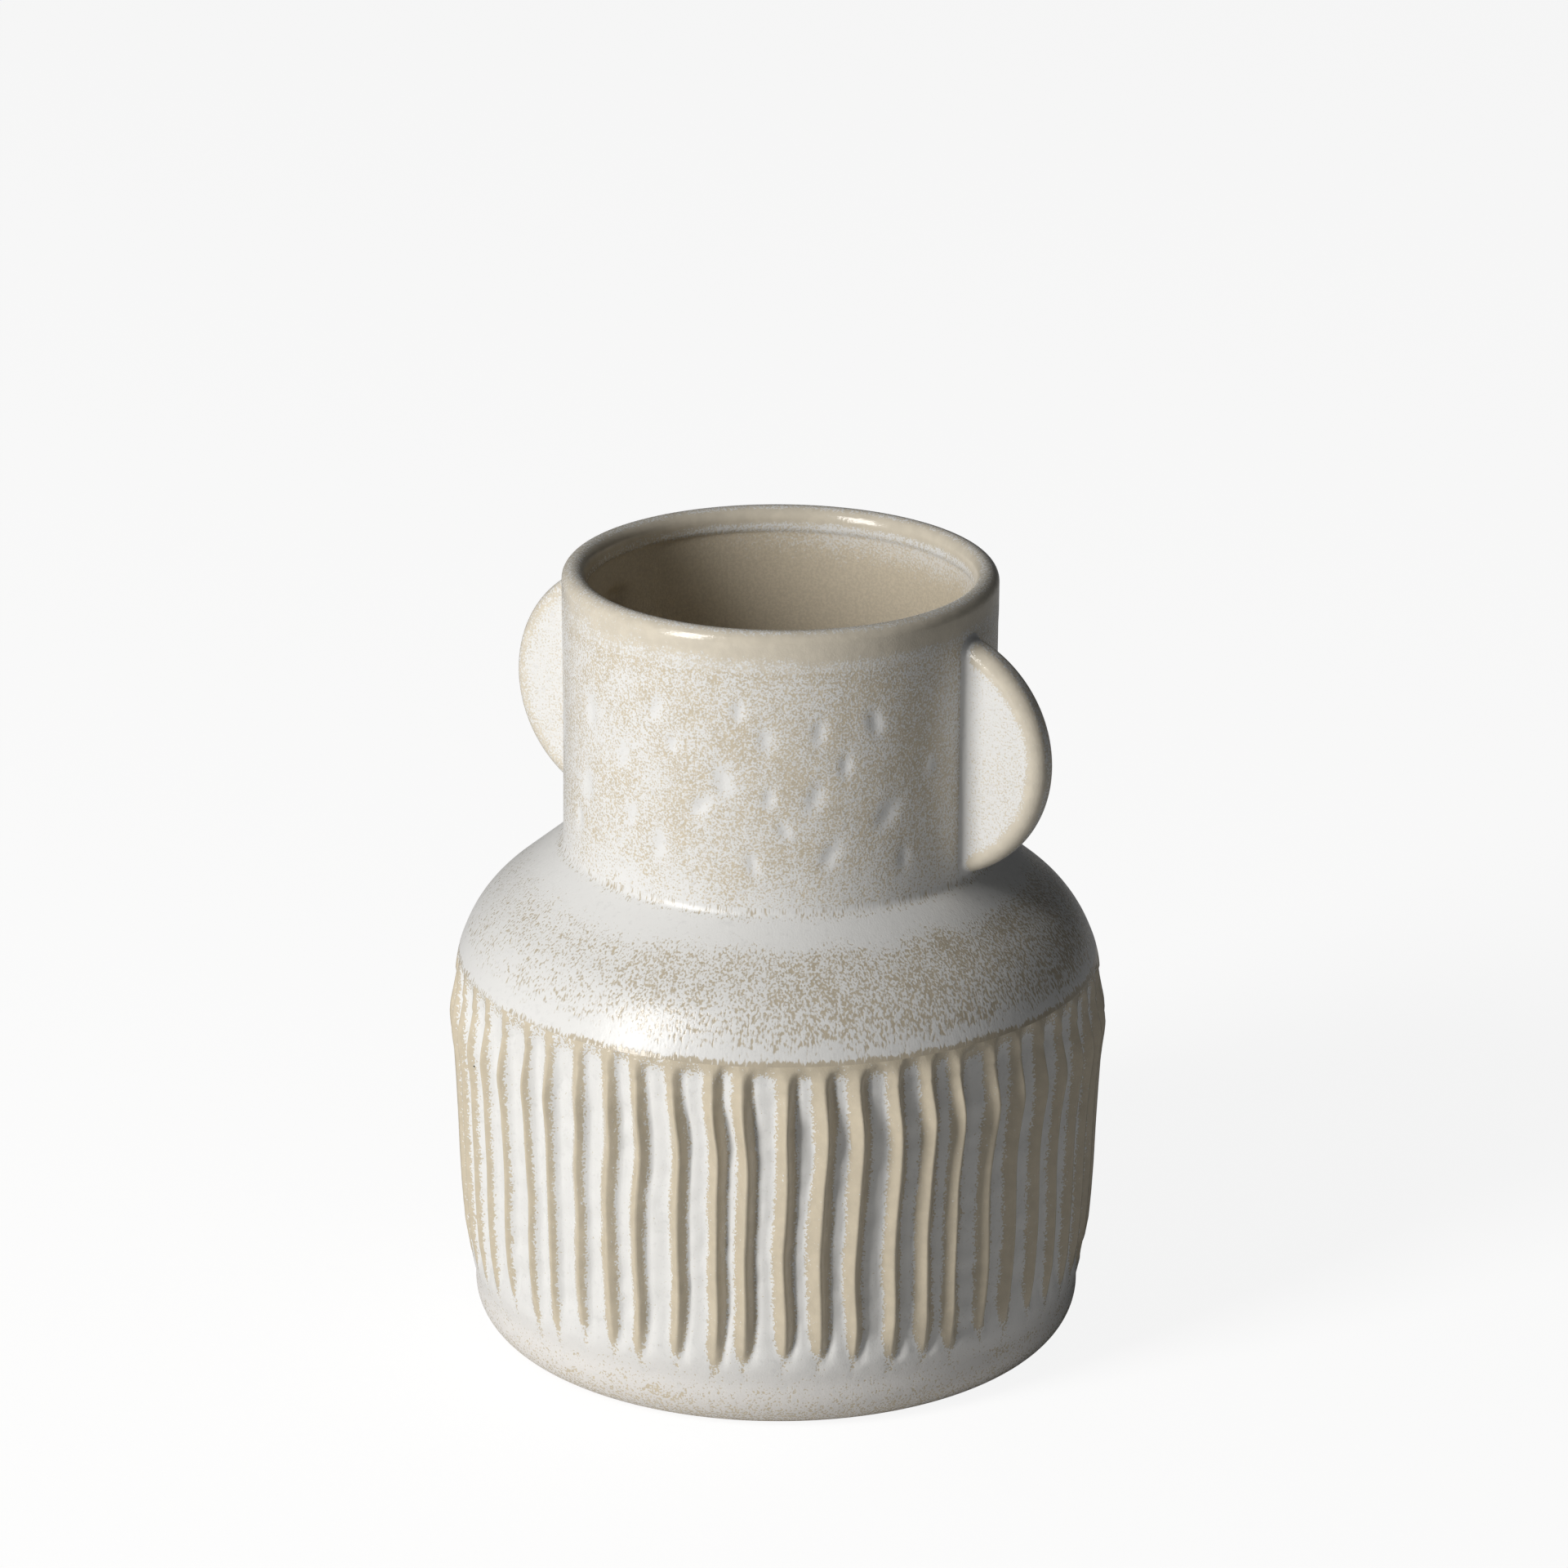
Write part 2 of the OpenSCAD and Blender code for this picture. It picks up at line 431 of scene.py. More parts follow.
def glaze_material(name, colours, thin, scale, grain, patch, streaked=False):
    """Reactive glaze: white where it pools, speckled where it thins, and beige where it breaks."""
    sh = Shader(name)
    where = sh.place()
    pool = sh.attribute("pool")
    liner = sh.attribute("liner")
    run = sh.radial(where, 0.066, 1.0) if streaked else where
    fine = sh.cloud(run, scale, 1.5, 0.5)
    coarse = sh.cloud(run, scale * 0.5, 1.0, 0.5)
    drift = sh.cloud(where, 110, 2.0, 0.5)
    speck = fine * 0.68 + coarse * 0.32
    cover = pool + (drift - 0.5) * patch + (speck - 0.5) * grain
    white = sh.step(cover, 0.34, 0.66)

    warmth = sh.cloud(where, 320, 2.0, 0.6)
    height = sh.node("ShaderNodeSeparateXYZ", inputs={"Vector": where}, output="Z")
    heel = 1 - sh.step(height, 5 * MM, 24 * MM)
    clean = sh.mix(heel * 0.85, rgba(colours.white), rgba(colours.blush))
    mottle = sh.cloud(where, 620, 2.0, 0.6)
    pale = sh.mix(sh.step(mottle, 0.56, 0.72) * 0.5, clean, rgba(colours.white, 0.86))
    beige = sh.mix(sh.step(warmth, 0.35, 0.65), rgba(thin), rgba(thin, 0.93))
    outer = sh.mix(white, beige, pale)
    grit = sh.cloud(where, 1500, 2.0, 0.6)
    lining = sh.mix(sh.step(grit, 0.35, 0.68), rgba(colours.liner, 0.94), rgba(colours.liner, 1.08))
    inner = sh.mix(white * 0.7, lining, rgba(colours.white))
    glaze = sh.mix(liner, outer, inner)

    cells = {"Vector": where, "Scale": 62.0}
    pit_distance = sh.node("ShaderNodeTexVoronoi", inputs=cells, output="Distance")
    pit_colour = sh.node("ShaderNodeTexVoronoi", inputs=cells, output="Color")
    pit_chance = sh.node("ShaderNodeSeparateColor", inputs={"Color": pit_colour}, output="Red")
    pit = (pit_distance < 0.022) * (pit_chance > 0.80)

    gloss = sh.mix(white, grey(0.15), grey(0.34))
    rough = sh.mix(liner, gloss, grey(0.48))
    ripple = sh.cloud(where, 260, 3.0, 0.55) * 0.8 + white * 0.15 + fine * 0.34
    sh.feed(sh.surface.inputs["Base Color"], sh.mix(pit, glaze, (0.03, 0.026, 0.022, 1.0)))
    sh.feed(sh.surface.inputs["Roughness"], rough)
    sh.feed(sh.surface.inputs["Normal"], sh.bump(ripple, 0.5, 0.25 * MM))
    return sh.material


def clay_material(colours):
    """Bare fired clay, warm and gritty."""
    sh = Shader("bare clay")
    where = sh.place()
    grit = sh.cloud(where, 1700, 3.0, 0.65)
    stain = sh.cloud(where, 140, 3.0, 0.6)
    clay = sh.mix(sh.step(grit, 0.35, 0.65), rgba(colours.clay, 0.82), rgba(colours.clay, 1.15))
    stained = sh.mix(sh.step(stain, 0.5, 0.75) * 0.35, clay, rgba(colours.clay, 0.6))
    sh.feed(sh.surface.inputs["Base Color"], stained)
    sh.feed(sh.surface.inputs["Normal"], sh.bump(grit, 0.6, 0.2 * MM))
    sh.surface.inputs["Roughness"].default_value = 0.85
    return sh.material


# Rim and neck

def rim_mesh(form, body):
    """Ring with a rolled lip, and a ledge inside that ends in a crease."""
    lip_x, lip_z = form.neck - body.lip, form.top - body.lip
    crease_z = form.top - body.crease
    ledge_x = form.bore - body.ledge
    seat_z = form.rim_z - body.joint
    return turned([
        (form.neck_mid, form.rim_z), (form.neck, form.rim_z),
        *arc(lip_x, lip_z, body.lip, 0, math.pi, 20),
        (ledge_x, crease_z + 1.1 * MM), (ledge_x + 0.12 * MM, crease_z + 0.45 * MM),
        (form.bore - 0.1 * MM, crease_z - 0.1 * MM), (form.bore, crease_z - 0.6 * MM),
        (form.bore, seat_z), (form.neck_mid, seat_z),
    ], body.columns, 0.9 * MM)


def paint_rim(form, body, co):
    """Beige under the lip, a pale line over it, and a white band above the crease."""
    radius, angle = polar(co)
    x, y = math.cos(angle), math.sin(angle)
    down = form.top - co.z
    if radius > form.neck - body.lip:
        ragged = (1.1 * wave(5 * x, 5 * y, 0, 4) + 0.6 * wave(16 * x, 16 * y, 0, 5)) * MM
        low = 5.6 * MM - ragged
        beige = smooth(low + 2.6 * MM, low - 1.4 * MM, down)
        pool = blend(0.49, 0.40 * towards(angle, WHITE_LIP_SIDE) ** 2, beige)
        return max(pool, 0.47 * smooth(1.6 * MM, 0.2 * MM, down)), 0.0
    crest_line = 0.47 * smooth(1.2 * MM, 0.2 * MM, down)
    # The band is whiter towards one side: partly glaze, partly painted light where the key light
    # falls inside the mouth
    band = (0.40 + 0.16 * towards(angle, BLOOM_AND_LIGHT_SIDE)) * smooth(2.4 * MM, 4.4 * MM, down)
    below = smooth(body.crease - 0.5 * MM, body.crease + 0.5 * MM, down)
    return blend(max(crest_line, band), paint_bore(co), below), below


def paint_bore(co):
    """A thin white bloom high in the bore, on one side: partly glaze, partly painted light where the
    key light falls inside the mouth.
    """
    bloom_and_light = towards(polar(co)[1], BLOOM_AND_LIGHT_SIDE) ** 2
    return 0.58 * bloom_and_light * smooth(180 * MM, 193 * MM, co.z)


# Dents left by a fingertip: degrees round from +X, height and length in mm, and lean in degrees
DENTS = [
    (-93, 178, 5.0, 20), (-70, 180, 4.2, 0), (-63, 173, 5.5, -8), (-49, 175, 4.6, 5),
    (-104, 164, 5.6, 3), (-74, 162, 6.4, -10), (-80, 155, 5.2, 42), (-62, 158, 4.0, 6),
    (-50, 158, 5.8, 20), (-101, 149, 4.6, 8), (-58, 150, 3.6, -30), (-34, 176, 4.8, -15),
    (-30, 152, 6.6, 38), (-42, 166, 4.4, 0), (-118, 171, 6.2, -4), (-120, 152, 7.0, 0),
    (-88, 170, 3.4, -20), (-16, 162, 4.0, 10), (24, 172, 5.0, 12), (41, 156, 5.4, -12),
    (58, 169, 4.2, 30), (77, 176, 5.0, 0), (88, 158, 6.0, 18), (104, 147, 4.4, -25),
    (117, 168, 5.6, 8), (136, 154, 5.0, 0), (150, 172, 4.4, -14), (-142, 160, 5.2, 14),
    (-156, 148, 4.6, -6), (-166, 174, 4.8, 22), (-92, 143, 5.0, 10), (-66, 141, 4.0, -12),
    (-46, 143, 5.4, 25), (-25, 140, 4.4, 0), (-125, 142, 4.6, -8), (70, 142, 5.0, 10),
]


def dent_depth(co, neck):
    """How deep the neck is pressed in here, from 0 to 1."""
    angle = polar(co)[1]
    deepest = 0.0
    for azimuth, height, size, lean in DENTS:
        across = math.remainder(angle - math.radians(azimuth), TURN) * neck
        up = co.z - height * MM
        size *= MM
        if max(abs(across), abs(up)) > 2 * size:
            continue
        lean = math.radians(lean)
        along = up * math.cos(lean) + across * math.sin(lean)
        side = across * math.cos(lean) - up * math.sin(lean)
        reach = (along / (0.62 * size)) ** 2 + (side / (0.34 * size)) ** 2
        deepest = max(deepest, math.exp(-reach))
    return deepest


def neck_mesh(form, body, lugs):
    """Straight collar with pressed dents outside and a soft hollow behind each lug."""
    seat_z = form.neck_z - body.joint
    top_seat = form.rim_z - body.joint
    bm = turned([
        (form.bore, seat_z), (form.neck_mid, seat_z), (form.neck_mid, form.neck_z),
        (form.neck, form.neck_z), (form.neck, form.rim_z), (form.neck_mid, form.rim_z),
        (form.neck_mid, top_seat), (form.bore, top_seat),
    ], body.columns, 0.9 * MM)
    wander_surface(bm, body, lambda co, r: r > form.neck - 0.01 * MM, form.neck_z, form.rim_z)
    pool = bm.verts.layers.float.new("pool")
    liner = bm.verts.layers.float.new("liner")
    for vert in bm.verts:
        radius, angle = polar(vert.co)
        z = vert.co.z
        if radius > form.neck_mid + 1 * MM:
            dent = dent_depth(vert.co, form.neck)
            hold = smooth(form.neck_z, form.neck_z + 3 * MM, z)
            hold *= smooth(form.rim_z, form.rim_z - 3 * MM, z)
            place(vert, radius - 0.45 * MM * dent * hold, angle, z)
            vert[pool] = paint_neck(form, vert.co, dent)
            continue
        vert[liner] = 1.0
        vert[pool] = paint_bore(vert.co)
        if radius < form.bore + 0.01 * MM and seat_z < z < top_seat:
            side = math.remainder(angle, math.pi) * form.bore
            ends = 1 - smooth(24 * MM, 29 * MM, abs(z - form.lug_z + 1 * MM))
            ends *= smooth(top_seat, top_seat - 4 * MM, z)
            hollow = math.exp(-(side / (4.6 * MM)) ** 2) * ends
            place(vert, radius + lugs.pocket * hollow, angle, z)
    return bm


def paint_neck(form, co, dent):
    """Dense specks of beige, thinner to one side, with white in the dents."""
    angle = polar(co)[1]
    x, y = math.cos(angle), math.sin(angle)
    blot = wave(3.2 * x, 3.2 * y, 60 * co.z, 6) + 0.6 * wave(8 * x, 8 * y, 150 * co.z, 7)
    pool = 0.585 - 0.09 * towards(angle, NECK_SPECK_SIDE) + 0.05 * blot
    pool = blend(pool, 0.48, smooth(form.rim_z - 7 * MM, form.rim_z, co.z))
    pool += 0.32 * dent
    return min(pool + 0.12 * smooth(form.neck_z + 14 * MM, form.neck_z, co.z), 1.0)


# Shoulder

def shoulder_mesh(form, body):
    """Sloping shoulder, with an edge curve below and a cove above."""
    drop = body.wall / math.cos(body.slope)
    inner_low = form.cone_z + (form.cone_x - body.bore) * form.rise - drop
    inner_top = form.cone_z + (form.cone_x - form.bore) * form.rise - drop
    drum_top = form.drum_z + body.joint
    neck_seat = form.neck_z - body.joint
    low = (inner_low - drum_top) / math.tan(form.turn / 2)
    top = (neck_seat - inner_top) / math.tan(form.turn / 2)
    bm = turned([
        (form.drum_mid, form.drum_z),
        *arc(form.edge_x, form.edge_z, body.edge, body.edge_lean, form.turn, 24),
        *arc(form.neck + body.cove, form.neck_z, body.cove, math.pi + form.turn, math.pi, 10),
        (form.neck_mid, form.neck_z), (form.neck_mid, neck_seat),
        *arc(form.bore + top, neck_seat, top, math.pi, math.pi + form.turn, 6),
        *arc(body.bore - low, drum_top, low, form.turn, 0, 8),
        (form.drum_mid, drum_top),
    ], body.columns, 1.0 * MM)
    wander_surface(bm, body, lambda co, r: r > form.shoulder(co.z) - 2 * MM,
                   form.drum_z, form.neck_z)
    return bm


def paint_shoulder(form, co):
    """Clean white at the cove and at the edge, with drifts of specks on the slope between."""
    radius, angle = polar(co)
    x, y = math.cos(angle), math.sin(angle)
    inside = radius < form.shoulder(co.z) - 2 * MM and co.z > form.drum_z
    out = radius - form.neck
    up = co.z - form.drum_z
    blot = wave(3 * x, 3 * y, 40 * radius, 9) + 0.7 * wave(9 * x, 9 * y, 120 * radius, 10)
    side = towards(angle, SHOULDER_SPECK_SIDE)
    middle = smooth(3 * MM, 11 * MM, out + 1.5 * MM * blot)
    middle *= smooth(1.5 * MM, 8.5 * MM, up + (1.5 * blot + 2 * side) * MM)
    pool = 1.0 - middle * (0.25 + 0.25 * side + 0.07 * blot)
    pool = min(pool, blend(0.66, 1.0, smooth(0.8 * MM, 3 * MM, out)))
    ragged = 0.5 * MM * wave(20 * x, 20 * y, 0, 11)
    edge = smooth(0.2 * MM, 2.4 * MM, up + ragged)
    left = smooth(math.radians(10), math.radians(60), math.remainder(FRONT - angle, TURN))
    return min(blend(0.15 + 0.38 * left, pool, edge), 1.0), 1.0 if inside else 0.0


# Fluted wall

class Flutes:
    """Paths and sections of the ridges that the gouge leaves between flutes."""

    # Heights, and how far the ridges stand out from the band there, in mm
    crest_line = [
        (17, 0.9), (20, 1.5), (23, 2.0), (29, 3.0), (36, 3.5), (44, 3.9), (54, 4.2), (65, 4.65),
        (72, 5.0), (76, 5.4), (79, 5.8), (82, 6.05), (85, 5.75), (88, 5.1), (91, 4.5), (93.5, 4.0),
    ]

    def __init__(self, form, body, flutes):
        self.form, self.body, self.flutes = form, body, flutes
        rng = random.Random(7)
        count = flutes.count
        self.pitch = TURN / count
        self.angles = [k * self.pitch + rng.gauss(0, flutes.stray) for k in range(count)]
        self.sizes = [rng.uniform(0.88, 1.10) for _ in range(count)]
        self.feet = [rng.uniform(14.5, 18.5) * MM for _ in range(count)]
        self.heads = [rng.uniform(-0.5, 0.5) * MM for _ in range(count)]
        self.rows = {}

    def row(self, z):
        """Angles and widths of all ridges at one height, kept for the next vertex there."""
        key = round(z / MM, 3)
        if key not in self.rows:
            angles = [self.angle(k, z) for k in range(self.flutes.count)]
            angles.append(angles[0] + TURN)
            widths = [self.width(k, z) for k in range(self.flutes.count)]
            self.rows[key] = angles, widths + widths[:1]
        return self.rows[key]

    def angle(self, k, z):
        """Angle of a ridge at a height: it drifts, and bows where the drum is widest."""
        x, y = math.cos(self.angles[k]), math.sin(self.angles[k])
        drift = 1.5 * wave(2.6 * x, 2.6 * y, 34 * z, 12) + 0.5 * wave(k * 0.9, 0, 60 * z, 13)
        drift += 0.9 * math.exp(-((z - 77 * MM) / (11 * MM)) ** 2)
        return self.angles[k] + drift * self.flutes.wander / self.form.drum

    def width(self, k, z):
        """Width of a ridge's flank, which narrows to a point at the foot."""
        foot = smooth(self.feet[k], self.feet[k] + 10 * MM, z)
        ripple = 1 + 0.22 * wave(k * 3.1, 0, 70 * z, 14)
        return self.flutes.ridge * self.sizes[k] * (0.42 + 0.58 * foot) * ripple

    def crest(self, z):
        """Radius of the ridges' crests."""
        line = self.crest_line
        if z > line[-1][0] * MM:
            return self.form.shoulder(z)
        height = max(z / MM, line[0][0])
        for (z0, s0), (z1, s1) in zip(line, line[1:]):
            if height <= z1:
                return self.body.band + blend(s0, s1, (height - z0) / (z1 - z0)) * MM

    def floor(self, z):
        """Radius of the flutes' floor, away from their ends."""
        return blend(self.flutes.floor_low, self.flutes.floor_high, smooth(14 * MM, 88 * MM, z))

    def pale(self, angle):
        """How far the white floors spread up the ridges here: more at the vase's two sides."""
        side = math.remainder(angle - FRONT, TURN)
        left = smooth(math.radians(-12), math.radians(46), -side)
        return max(left, 0.55 * smooth(math.radians(35), math.radians(68), side))

    def arch(self, k, across):
        """Height of a flute's rounded top, where across is 0 in its middle and 1 at a ridge."""
        return self.form.drum_z - 0.5 * MM + self.heads[k] - 2.4 * MM * across ** 2

    def carve(self, k, phase, z):
        """Angle, radius and glaze at a point across flute k."""
        angles, widths = self.row(z)
        angle = blend(angles[k], angles[k + 1], phase)
        across = abs(2 * phase - 1)
        crest = self.crest(z)
        run = 4.6 * MM
        climb = min(max((z - self.arch(k, across) + run) / run, 0), 1)
        base = blend(self.floor(z), self.form.shoulder(z), 1 - math.sqrt(1 - climb ** 2))
        foot_z = (self.feet[k] + self.feet[(k + 1) % self.flutes.count]) / 2
        bead = math.exp(-((z - foot_z - 3 * MM) / (4.5 * MM)) ** 2) * (1 - across ** 2)
        bed = (1 - climb) * smooth(foot_z, foot_z + 8 * MM, z)
        lump = wave(k * 5.3 + across, 0, 200 * z, 20) * bed
        pale = self.pale(angle)
        past = (angle - angles[k]) * self.form.drum - 2.1 * MM
        trench = math.exp(-(past / (1.0 * MM)) ** 2) * bed * (1 - 0.8 * pale)
        base = min(base + (0.40 * bead + 0.42 * lump - 0.95 * trench) * MM, crest)

        # The two ridges: gap to the crest, width of the flank, and where the glaze bares and covers.
        # Past the steep flank's foot the beige runs onto the floor: partly glaze that breaks there,
        # partly painted shade where the crest's shadow falls.
        share, thin = 0.0, 0.0
        steep_with_shade = (k, angle - angles[k], 0.78 * widths[k],
                 blend(1.30, 0.68, pale), blend(0.62, 0.08, pale))
        gentle = (k + 1, angles[k + 1] - angle, 1.04 * widths[k + 1],
                  blend(1.08, 0.70, pale), blend(0.46, 0.10, pale))
        round_crest = 0.07
        for ridge, gap, width, bare, covered in (steep_with_shade, gentle):
            foot_z = self.feet[ridge % self.flutes.count]
            foot = smooth(foot_z, foot_z + 6 * MM, z)
            gap *= self.form.drum
            t = math.hypot(gap / width, round_crest) - round_crest
            share = max(share, foot * max(1 - t, 0) ** 1.35)
            tail = math.exp(-(gap / (1.1 * MM)) ** 2) * smooth(foot_z - 5 * MM, foot_z + 2 * MM, z)
            thin = max(thin, foot * smooth(bare, covered, t), 0.5 * tail)
        top = self.arch(k, across)
        thin = max(thin, smooth(top - 4.5 * MM, top - 0.5 * MM, z) * blend(0.88, 0.50, pale))
        return angle, blend(base, crest, share), 1.2 - 1.4 * thin


def spread(i, count):
    """Place of column i across a flute: columns crowd towards the two ridges."""
    t = 2 * i / count - 1
    return 0.5 + 0.5 * (0.55 * t + 0.45 * math.copysign(1 - (1 - abs(t)) ** 1.7, t))


def wall_mesh(form, body, flutes):
    """Heel and drum, with every flute carved between its two ridges."""
    rule = Flutes(form, body, flutes)
    drum_top = form.drum_z + body.joint
    cove = body.bore - form.foot
    heel_top = form.heel_z + 0.1 * MM
    carved_z = 18 * MM
    columns = flutes.count * flutes.columns
    bm = turned([
        (form.upstand, form.foot_z),
        *arc(form.heel_x, form.heel_z, body.heel, form.foot_angle, 0, 12),
        (form.drum, 24 * MM), (form.drum, 88 * MM), (form.drum, form.drum_z),
        (form.drum_mid, form.drum_z), (form.drum_mid, drum_top), (body.bore, drum_top),
        *arc(form.foot, form.floor_z + cove, cove, 0, -math.pi / 2, 6),
        (form.foot, form.hollow), (form.upstand, form.hollow),
    ], columns, 1.15 * MM, body.bore + 0.1 * MM)
    pool = bm.verts.layers.float.new("pool")
    liner = bm.verts.layers.float.new("liner")
    for vert in bm.verts:
        radius, angle = polar(vert.co)
        z = vert.co.z
        inside = radius < body.bore + 1.5 * MM and z > form.foot_z + 4 * MM
        vert[liner] = 1.0 if inside else 0.0
        if radius < body.bore + 3 * MM and z > heel_top or inside:
            continue
        if z <= heel_top:
            vert[pool] = paint_heel(vert.co)
            continue
        column = round(angle / TURN * columns) % columns
        angle = column * TURN / columns
        k, step = divmod(column, flutes.columns)
        carved_angle, carved, glaze = rule.carve(k, spread(step, flutes.columns), z)
        hold = smooth(heel_top + 2 * MM, carved_z, z)
        place(vert, blend(body.band, carved, hold), blend(angle, carved_angle, hold), z)
        vert[pool] = blend(paint_heel(vert.co), glaze, smooth(heel_top, carved_z, z))
    return bm


def paint_heel(co):
    """White, with fine specks towards the foot and a few scuffs."""
    angle = polar(co)[1]
    x, y = math.cos(angle), math.sin(angle)
    scuff = smooth(0.25, 0.5, wave(12 * x, 12 * y, 260 * co.z, 15)) * smooth(5 * MM, 9 * MM, co.z)
    return 0.88 - 0.30 * smooth(11 * MM, 3 * MM, co.z) - 0.42 * scuff


# Foot ring and floor

def foot_mesh(form, body):
    """Bare ring that the vase rests on, with an upstand inside the wall."""
    inner = form.foot - body.foot_width
    ease = 0.35 * MM
    return turned([
        (inner + ease, 0), (form.foot - 0.2 * MM, 0),
        *arc(form.heel_x, form.heel_z, body.heel, -body.heel_turn + 0.012, form.foot_angle, 6),
        (form.upstand, form.foot_z), (form.upstand, form.hollow), (inner, form.hollow),
        (inner, ease),
    ], body.columns, 1.2 * MM)


def floor_mesh(form, body):
    """Round floor, a little dished by the glaze that settles on it."""
    bm = bmesh.new()
    bmesh.ops.create_circle(bm, cap_ends=True, cap_tris=False, segments=body.columns // 2,
                            radius=form.foot)
    risen = bmesh.ops.extrude_face_region(bm, geom=bm.faces[:])["geom"]
    bmesh.ops.translate(bm, verts=only(risen, bmesh.types.BMVert),
                        vec=(0, 0, form.floor_z - form.hollow))
    bmesh.ops.translate(bm, verts=bm.verts[:], vec=(0, 0, form.hollow))
    for _ in range(14):
        caps = [f for f in bm.faces if len(f.verts) > 4]
        bmesh.ops.inset_region(bm, faces=caps, thickness=4.6 * MM, use_even_offset=True)
    bmesh.ops.poke(bm, faces=[f for f in bm.faces if len(f.verts) > 4])
    close(bm)
    for vert in bm.verts:
        radius = polar(vert.co)[0]
        inward = smooth(form.foot - 1 * MM, form.foot - 30 * MM, radius)
        if vert.co.z > form.hollow + 1 * MM:
            vert.co.z -= inward * (0.5 + 0.2 * wave(40 * vert.co.x, 40 * vert.co.y, 0, 17)) * MM
        else:
            vert.co.z += inward * 0.3 * MM
    return bm


# Lugs

def lug_mesh(form, lugs, side):
    """Solid ear with rounded edges, smoothed into the neck at its root."""
    half = LUG_HIGH.y
    disc_x = LUG_HIGH.x - lugs.radius
    reach = math.acos((form.neck - disc_x) / lugs.radius) * 0.9995  # just short of its two tips
    flat = half - lugs.rounding
    rim = lugs.radius - lugs.rounding
    rows, sections = 180, 60

    def thickness(s):
        """Half the lug's thickness at a distance from the disc's centre."""
        if s <= rim:
            return half
        return flat + math.sqrt(max(lugs.rounding ** 2 - (s - rim) ** 2, 0))

    bm = bmesh.new()
    across = [bm.verts.new((i / sections, 0, 0)) for i in range(2 * sections + 1)]
    front = [bm.edges.new(pair) for pair in zip(across, across[1:])]
    for _ in range(rows):
        grown = bmesh.ops.extrude_edge_only(bm, edges=front)["geom"]
        raised = set(only(grown, bmesh.types.BMVert))
        front = [e for e in only(grown, bmesh.types.BMEdge) if raised.issuperset(e.verts)]
        bmesh.ops.translate(bm, verts=list(raised), vec=(0, 0, 1))
    for vert in bm.verts:
        u, row = vert.co.x, vert.co.z / rows
        phi = reach * math.sin(math.pi * (row - 0.5))
        start = (form.neck - disc_x) / math.cos(phi)
        side_sign = 1 if u < 1 else -1
        inward = u if u < 1 else 2 - u
        s = blend(start, lugs.radius, math.sin(inward * math.pi / 2) ** 0.8)
        y = side_sign * thickness(s) if inward < 1 - 1e-6 else 0.0
        if lugs.radius - s < 1e-7:
            y = side_sign * flat * (1 - inward) if inward < 1 else 0.0
        vert.co = (disc_x + s * math.cos(phi), y, form.lug_z + s * math.sin(phi))
    bmesh.ops.remove_doubles(bm, verts=bm.verts[:], dist=0.002 * MM)
    root = [e for e in bm.edges if e.is_boundary]
    root_verts = {v for e in root for v in e.verts}
    bmesh.ops.holes_fill(bm, edges=root, sides=0)
    bmesh.ops.recalc_face_normals(bm, faces=bm.faces[:])
    bm.normal_update()
    big = [f for f in bm.faces if len(f.verts) > 4]
    outward = {}
    for vert in bm.verts:
        normal = Vector((0, 0, 0))
        for face in vert.link_faces:
            if face not in big:
                normal += face.normal * face.calc_area()
        outward[vert] = normal.normalized() if normal.length > 0 else Vector((1, 0, 0))
    for vert, normal in outward.items():
        gap = max(math.hypot(vert.co.x, vert.co.y) - form.neck, 0)
        if gap < lugs.fillet:
            flare = lugs.fillet - math.sqrt(lugs.fillet ** 2 - (lugs.fillet - gap) ** 2)
            vert.co += Vector((0, normal.y, normal.z)) * flare
        if vert in root_verts:
            vert.co.x = math.sqrt(max((form.neck - 0.15 * MM) ** 2 - vert.co.y ** 2, 0))
    bmesh.ops.triangulate(bm, faces=big)
    if side < 0:
        bmesh.ops.rotate(bm, verts=bm.verts[:], cent=(0, 0, 0),
                         matrix=Matrix.Rotation(math.pi, 3, "Z"))
    return bm


def paint_lug(form, lugs, co):
    """A beige band along the edge, specks on the face and white pooled at the root."""
    x = abs(co.x)
    disc_x = LUG_HIGH.x - lugs.radius
    inset = lugs.radius - math.hypot(x - disc_x, co.z - form.lug_z)
    gap = polar(co)[0] - form.neck
    ragged = 0.7 * wave(90 * x, 40 * co.y, 90 * co.z, 18) * MM
    face = smooth(2.6 * MM, 5.4 * MM, inset + ragged)
    blot = wave(70 * x, 50 * co.y, 70 * co.z, 19)
    pool = blend(0.14 if co.x > 0 else 0.42, 0.64 + 0.08 * blot, face)
    mid = 1 - smooth(0.5 * MM, 3.2 * MM, abs(co.y))
    pool = max(pool, 0.50 * mid * smooth(2.5 * MM, 0.5 * MM, inset))
    return min(blend(0.9, pool, smooth(0.8 * MM, 3.0 * MM, gap)), 1.0), 0.0


# Operators

class VASE_OT_rim(bpy.types.Operator):
    """Makes the rim with its rolled lip"""

    bl_idname = "vase.rim"
    bl_label = "Rim"

    def execute(self, context):
        body, colours = context.scene.vase_body, context.scene.vase_colours
        form = Form(body)
        material = glaze_material("lip glaze", colours, colours.lip, 2000, 1.2, 0.26)
        bm = rim_mesh(form, body)
        paint(bm, lambda vert: paint_rim(form, body, vert.co))
        make_piece("rolled_rim", bm, "rim", material)
        return {"FINISHED"}


class VASE_OT_neck(bpy.types.Operator):
    """Makes the straight neck"""

    bl_idname = "vase.neck"
    bl_label = "Neck"

    def execute(self, context):
        body, colours = context.scene.vase_body, context.scene.vase_colours
        form = Form(body)
        material = glaze_material("neck glaze", colours, colours.beige, 2000, 1.4, 0.26)
        bm = neck_mesh(form, body, context.scene.vase_lugs)
        make_piece("neck_collar", bm, "neck", material)
        return {"FINISHED"}


